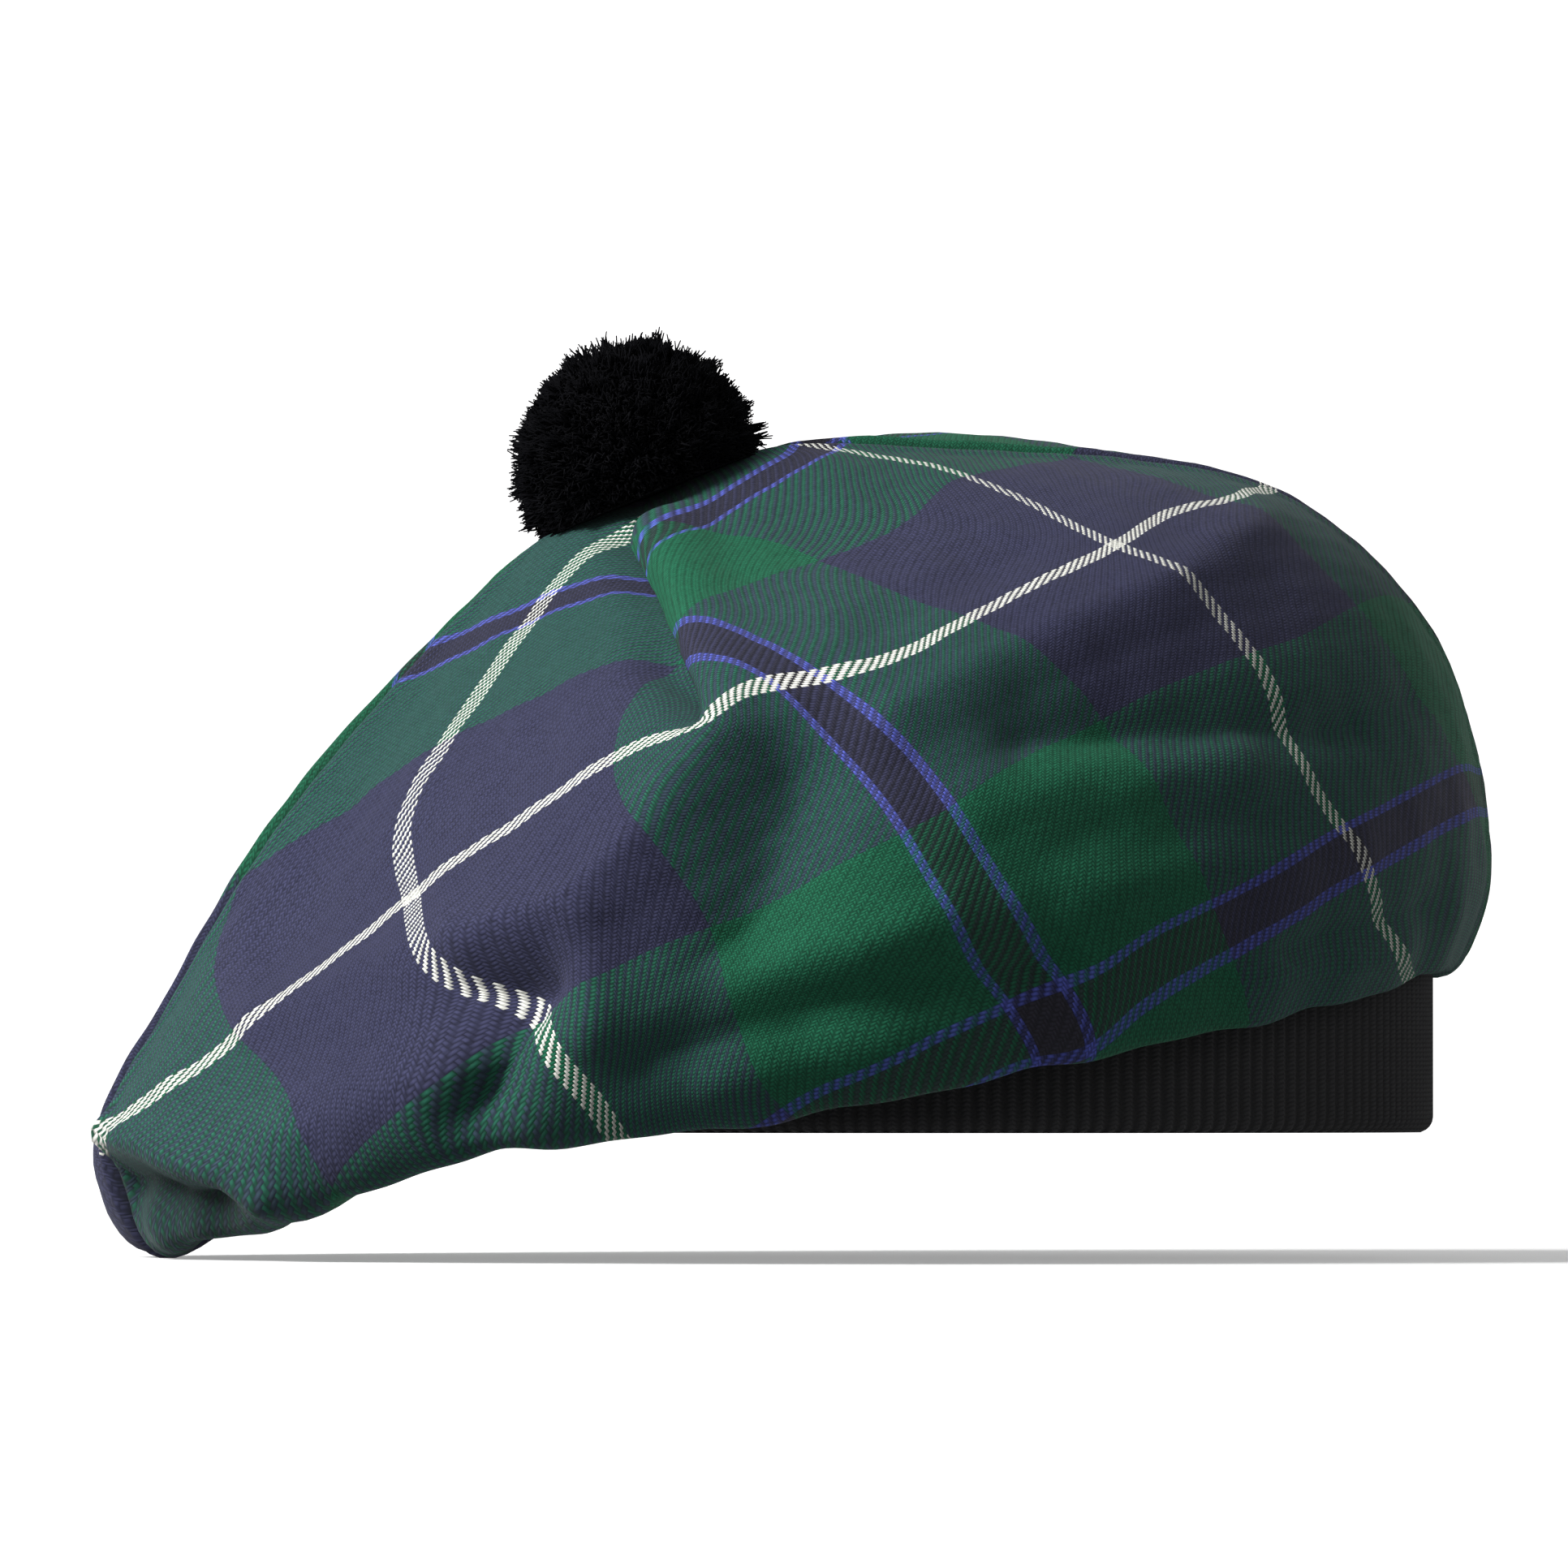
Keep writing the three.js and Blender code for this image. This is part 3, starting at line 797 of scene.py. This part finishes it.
def weave_material():
    material, tree, surface = shader("checked_wool_twill")
    cloth = node(tree, "ShaderNodeUVMap").outputs["UV"]
    apart = node(tree, "ShaderNodeSeparateXYZ", {0: cloth})
    a = maths(tree, "DIVIDE", apart.outputs["X"], THREAD)
    b = maths(tree, "DIVIDE", apart.outputs["Y"], THREAD)
    a_thread = maths(tree, "FLOOR", a)
    b_thread = maths(tree, "FLOOR", b)
    a_colour, a_white = yarn_colour(tree, a_thread)
    b_colour, b_white = yarn_colour(tree, b_thread)

    lean = maths(tree, "MULTIPLY_ADD", a_white, WHITE_LEAN, 1.0)
    slant = maths(tree, "MULTIPLY", a_thread, lean)
    a_step = maths(tree, "FLOORED_MODULO", maths(tree, "ADD", slant, b), TWILL)
    b_step = maths(tree, "FLOORED_MODULO", maths(tree, "ADD", b_thread, a), TWILL)
    cover = maths(tree, "MULTIPLY_ADD", a_white, WHITE_COVER, FLOAT)
    a_over = maths(tree, "LESS_THAN", a_step, cover)
    a_along = maths(tree, "DIVIDE", maths(tree, "MULTIPLY", a_step, math.pi), cover)
    b_along = maths(tree, "MULTIPLY", maths(tree, "SUBTRACT", b_step, B_FLOAT_START), math.pi / FLOAT)
    a_float = maths(tree, "MAXIMUM", maths(tree, "SINE", a_along), 0.0)
    b_float = maths(tree, "MAXIMUM", maths(tree, "SINE", b_along), B_FLOAT_LOW)
    a_height = maths(tree, "MULTIPLY", rounded(tree, a), a_float)
    b_height = maths(tree, "MULTIPLY", rounded(tree, b), b_float)
    height = node(tree, "ShaderNodeMix", {0: a_over, 2: b_height, 3: a_height}).outputs[0]

    white = maths(tree, "MAXIMUM", a_white, b_white)
    see_through = maths(tree, "MULTIPLY_ADD", white, -FIBRE_MIX, FIBRE_MIX)
    shown_more = maths(tree, "MULTIPLY_ADD", see_through, -2.0, 1.0)
    shown = maths(tree, "MULTIPLY_ADD", a_over, shown_more, see_through)
    colour = mixed(tree, shown, b_colour, a_colour)

    crossing = node(tree, "ShaderNodeCombineXYZ", {0: a_thread, 1: b_thread}).outputs[0]
    slub = node(tree, "ShaderNodeTexWhiteNoise", {"Vector": crossing}).outputs["Value"]
    loose = maths(tree, "MULTIPLY", lint(tree, cloth, 900.0, 3.0), LINT)
    uneven = maths(tree, "MULTIPLY_ADD", slub, SLUB, loose)
    # Painted shade between the threads: colour is darkest at the thread edges and lightest on the floats'
    # crests, over a random tone of slubs and lint.
    dimmest = maths(tree, "ADD", uneven, PAINTED_THREAD_EDGE)
    relief_shade_and_tone = maths(tree, "MULTIPLY_ADD", height, PAINTED_THREAD_CREST, dimmest)
    shaded = mixed(tree, 1.0, colour, relief_shade_and_tone, blend="MULTIPLY")
    # Painted shade kept on the cloth in the seam, the tuck and the droop's fold darkens the colour towards
    # near-black.
    painted_hollow_shade = node(tree, "ShaderNodeAttribute", attribute_name="painted_hollow_shade").outputs["Fac"]
    with_painted_shade = mixed(tree, maths(tree, "MULTIPLY", painted_hollow_shade, PAINTED_SHADE_SHARE), shaded, PAINTED_SHADE_COLOUR)
    tree.links.new(with_painted_shade, surface.inputs["Base Color"])
    bumped(tree, surface, height, strength=0.7, distance=0.12 * MM)
    surface.inputs["Roughness"].default_value = 0.85
    surface.inputs["Specular IOR Level"].default_value = 0.15
    surface.inputs["Sheen Weight"].default_value = 0.04
    surface.inputs["Sheen Roughness"].default_value = 0.5
    return material


def flat_area(panel, flat):
    """The area of the flattened panel in its own units."""
    spot = flat[grid_of_corners(panel)]
    total = 0.0
    for face in panel.data.polygons:
        ring = spot[list(face.loop_indices)]
        following = np.roll(ring, -1, axis=0)
        total += abs((ring[:, 0] * following[:, 1] - ring[:, 1] * following[:, 0]).sum()) / 2
    return total


def declare_cloth(panel, flat):
    """Works out the size of the flat piece of cloth that the panel was cut as, from its area and the near
    panel's flat shape; the size is not passed on.
    """
    area = sum(face.area for face in panel.data.polygons)
    span = np.nanmax(flat, axis=(0, 1, 2)) - np.nanmin(flat, axis=(0, 1, 2))
    cut = span * math.sqrt(area / flat_area(panel, flat))


# The far panel's check starts half a sett on, so that its stripes meet the near panel's at the seam.
checked_wool = weave_material()
near, before, after, tuck = crown_panel("near")
flat = flattened(near)
laid = striped(flat, before, after, tuck)
far = crown_panel("far")[0]
for panel, node_name, shift in ((near, "crown_near_panel", 0.0), (far, "crown_far_panel", HALF_SETT)):
    lay_check(panel, laid, np.array([0.0, shift]))
    panel.data.materials.append(checked_wool)
    wall = panel.modifiers.new("cloth", "SOLIDIFY")
    wall.thickness = CLOTH
    wall.offset = -1
    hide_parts(node_name)
    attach(panel, "root")
    declare_cloth(panel, flat)

# The head band: a doubled tube of black rib knit, folded over at the bottom edge and sewn to
# the gathered crown above. Fine ribs stand up all the way round.
RIBS = 198
RIB_STEPS = 4
RIB_DEPTH = 0.85
RIB_SHARPNESS = 0.7
BAND_ROLL = 3.0
ROLL_STEPS = 8
ROLL_START = -60
ROLL_TURN = 150
ROLL_INSIDE = 0.6
INSIDE_HEIGHTS = (BAND_HEIGHT, 24.0, 16.0, 8.0)
OUTSIDE_HEIGHTS = (6.0, 10.0, 14.0, 18.0, 22.0, 26.0, BAND_HEIGHT)
# How far out from the inner wall the ribs still stand inwards, and the knit still runs up inside.
INNER_RIBS = 0.5
INNER_KNIT = 1.2
KNIT_ROW = 0.85
STITCH_SLANT = 1.3
STITCH_HEIGHT = 1.3
RIB_HEIGHT = 0.25
RIB_CREST = 2.2
KNIT_LINT = 0.35

inner = BAND_RADIUS - BAND_WALL
section = [(inner, z) for z in INSIDE_HEIGHTS]
for k in range(ROLL_STEPS + 1):
    turn = math.radians(ROLL_START + ROLL_TURN * k / ROLL_STEPS)
    lip = BAND_ROLL if turn > 0 else BAND_WALL - BAND_ROLL + ROLL_INSIDE
    section.append((BAND_RADIUS - BAND_ROLL + lip * math.sin(turn), BAND_ROLL - BAND_ROLL * math.cos(turn)))
section += [(BAND_RADIUS, z) for z in OUTSIDE_HEIGHTS]
bm = spun([(out * MM, z * MM) for out, z in section], RIBS * RIB_STEPS)
knit = bm.loops.layers.uv.new("knit")
for face in bm.faces:
    middle = face.calc_center_median()
    centre_turn = math.atan2(middle.y, middle.x)
    for loop in face.loops:
        turn = math.atan2(loop.vert.co.y, loop.vert.co.x)
        turn = centre_turn + (turn - centre_turn + math.pi) % (2 * math.pi) - math.pi
        out = math.hypot(loop.vert.co.x, loop.vert.co.y)
        way = 1 if out > (inner + INNER_KNIT) * MM else -1
        loop[knit].uv = (turn * BAND_RADIUS * MM, way * loop.vert.co.z)
for vert in bm.verts:
    turn = math.atan2(vert.co.y, vert.co.x)
    wave = abs(math.sin(turn * RIBS / 2)) ** RIB_SHARPNESS
    sink = 1 - RIB_DEPTH * MM * wave / math.hypot(vert.co.x, vert.co.y)
    if math.hypot(vert.co.x, vert.co.y) < (inner + INNER_RIBS) * MM:
        sink = 2 - sink
    vert.co.x *= sink
    vert.co.y *= sink
band = finished(bm, "rib_knit_head_band")


def knit_material():
    material, tree, surface = shader("black_rib_knit")
    cloth = node(tree, "ShaderNodeUVMap", uv_map="knit").outputs["UV"]
    apart = node(tree, "ShaderNodeSeparateXYZ", {0: cloth})
    rib = maths(tree, "DIVIDE", apart.outputs["X"], 2 * math.pi * BAND_RADIUS * MM / RIBS)
    half = maths(tree, "PINGPONG", rib, 0.5)
    row = maths(tree, "DIVIDE", apart.outputs["Y"], KNIT_ROW * MM)
    stitch = maths(tree, "PINGPONG", maths(tree, "MULTIPLY_ADD", half, STITCH_SLANT, row), 0.5)
    rib_round = maths(tree, "COSINE", maths(tree, "MULTIPLY", half, math.pi))
    crest = maths(tree, "POWER", rib_round, RIB_CREST)
    raised = maths(tree, "MULTIPLY_ADD", stitch, STITCH_HEIGHT, RIB_HEIGHT)
    height = maths(tree, "MULTIPLY", raised, crest)
    # Painted highlight and shade: the colour is near-black in the rib valleys and between stitches and
    # lighter grey on the crests, over a random tone of lint; the same relief raises the bump.
    relief_shade_and_tone = maths(tree, "MULTIPLY_ADD", lint(tree, cloth, 2500.0, 3.0), KNIT_LINT, height)
    colour = ramp(tree, relief_shade_and_tone, (0.1, (0.0015, 0.0015, 0.0018)), (0.85, (0.05, 0.05, 0.053)))
    tree.links.new(colour, surface.inputs["Base Color"])
    bumped(tree, surface, relief_shade_and_tone, strength=0.9, distance=0.35 * MM)
    surface.inputs["Roughness"].default_value = 0.8
    surface.inputs["Specular IOR Level"].default_value = 0.2
    return material


band.data.materials.append(knit_material())
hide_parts("head_band")
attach(band, "root")

# The pompom: a ball of cut black yarn tied through the middle of the crown, trimmed round, with
# the ends of each clump of yarn standing a little proud of the rest.
POMPOM_X, POMPOM_Z = -63.3, 127.8
CORE_RADIUS = 20.0
CORE_SUBDIVISIONS = 5
CLUMPS = 900
STRANDS = 20000
STRAND_THICK = 0.26
# How thick a strand is at its base, middle and tip, and its gap from the crown at each.
STRAND_TAPER = (1.0, 0.95, 0.5)
SEAT_GAPS = (0.6, 0.5, 0.4)
CORE_GAP = 0.5
STRAND_SIDES = 3
# The reach of the clumps: the usual one, how far it strays, and how far a few stand proud.
CLUMP_REACH = 23.1
CLUMP_STRAY = 0.7
CLUMP_PROUD = 0.4
CLUMP_WOBBLE = 0.03
STRAND_WOBBLE = 0.02
STRAND_SHORT = -0.5
STRAND_STRAY = 0.6
TIP_TO_CLUMP = 0.55
TIP_WOBBLE = 0.03
MIDDLE_TO_TIP = 0.4
MIDDLE_OUT = 1.6
MIDDLE_BEND = 0.6
BASE_DEPTH = 0.97
rng = np.random.default_rng(7)
seat_up = np.array([-math.sin(SEAT_TILT), 0, math.cos(SEAT_TILT)])
seat_middle = np.array([SEAT_X, 0, SEAT_Z])
pompom_middle = np.array([POMPOM_X, 0, POMPOM_Z])


def round_the_ball(count, wobble):
    """Directions spread evenly over a ball, each pushed a little off its place."""
    k = np.arange(count) + 0.5
    up = 1 - 2 * k / count
    turn = k * math.pi * (3 - math.sqrt(5))
    level = np.sqrt(1 - up**2)
    spread = np.stack([level * np.cos(turn), level * np.sin(turn), up], axis=1)
    spread += rng.normal(0, wobble, spread.shape)
    return spread / np.linalg.norm(spread, axis=1, keepdims=True)


def above_seat(points, gap):
    """Points moved up along the seat's own slant until they clear the crown by the gap."""
    clear = (points - seat_middle) @ seat_up - gap
    return points - np.minimum(clear, 0)[:, None] * seat_up


def yarn_ends():
    """The base, middle and tip of every strand, and the way that it points."""
    clump = round_the_ball(CLUMPS, CLUMP_WOBBLE)
    clump_reach = rng.normal(CLUMP_REACH, CLUMP_STRAY, CLUMPS) + rng.exponential(CLUMP_PROUD, CLUMPS)
    strand = round_the_ball(STRANDS, STRAND_WOBBLE)
    own = np.argmax(strand @ clump.T, axis=1)
    tip_way = strand * (1 - TIP_TO_CLUMP) + clump[own] * TIP_TO_CLUMP
    tip_way += rng.normal(0, TIP_WOBBLE, strand.shape)
    tip_way /= np.linalg.norm(tip_way, axis=1, keepdims=True)
    reach = clump_reach[own] + rng.normal(STRAND_SHORT, STRAND_STRAY, STRANDS)
    base = pompom_middle + strand * CORE_RADIUS * BASE_DEPTH
    bend = rng.normal(0, MIDDLE_BEND, strand.shape)
    middle_way = strand * (1 - MIDDLE_TO_TIP) + tip_way * MIDDLE_TO_TIP
    middle = pompom_middle + middle_way * (CORE_RADIUS + MIDDLE_OUT) + bend
    tip = pompom_middle + tip_way * reach[:, None]
    return *(above_seat(*pair) for pair in zip((base, middle, tip), SEAT_GAPS)), strand


def strands_mesh(base, middle, tip, way):
    """Every strand as a bent three-sided rod, closed at both ends."""
    helper = np.where(np.abs(way[:, 2:3]) < 0.9, [[0, 0, 1.0]], [[1.0, 0, 0]])
    side = np.cross(way, helper)
    side /= np.linalg.norm(side, axis=1, keepdims=True)
    other = np.cross(way, side)
    corners = []
    for centre, thick in zip((base, middle, tip), STRAND_TAPER):
        for k in range(STRAND_SIDES):
            turn = 2 * math.pi * k / STRAND_SIDES
            corners.append(centre + STRAND_THICK * thick * (side * math.cos(turn) + other * math.sin(turn)))
    verts = np.stack(corners, axis=1).reshape(-1, 3) * MM
    faces = [(6, 7, 8)]
    for ring in (0, STRAND_SIDES):
        for k in range(STRAND_SIDES):
            n = (k + 1) % STRAND_SIDES
            faces += [(ring + k, ring + n, ring + 3 + n), (ring + k, ring + 3 + n, ring + 3 + k)]
    faces += [(2, 1, 0)]
    firsts = np.arange(len(base)) * len(corners)
    every = firsts[:, None, None] + np.array(faces)[None]
    mesh = bpy.data.meshes.new("cut_yarn")
    mesh.from_pydata(verts.tolist(), [], every.reshape(-1, 3).tolist())
    mesh.polygons.foreach_set("use_smooth", [True] * len(mesh.polygons))
    return mesh


def yarn_material():
    material, tree, surface = shader("black_yarn")
    where = node(tree, "ShaderNodeTexCoord").outputs["Object"]
    fluff = lint(tree, where, 260.0, 4.0)
    colour = ramp(tree, fluff, (0.35, (0.0024, 0.0024, 0.0032)), (0.8, (0.010, 0.010, 0.012)))
    tree.links.new(colour, surface.inputs["Base Color"])
    surface.inputs["Roughness"].default_value = 1.0
    surface.inputs["Specular IOR Level"].default_value = 0.04
    return material


black_yarn = yarn_material()
ends = yarn_ends()
bm = bmesh.new()
bmesh.ops.create_icosphere(bm, subdivisions=CORE_SUBDIVISIONS, radius=CORE_RADIUS)
for vert in bm.verts:
    point = np.array(vert.co) + pompom_middle
    vert.co = above_seat(point[None], CORE_GAP)[0] * MM
bmesh.ops.recalc_face_normals(bm, faces=bm.faces)
core = finished(bm, "pompom_core")
core.data.materials.append(black_yarn)
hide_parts("pompom")
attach(core, "root")
for half, start in (("inner", 0), ("outer", 1)):
    yarn = new_object(f"pompom_{half}_strands", strands_mesh(*(part[start::2] for part in ends)))
    yarn.data.materials.append(black_yarn)
    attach(yarn, "root")
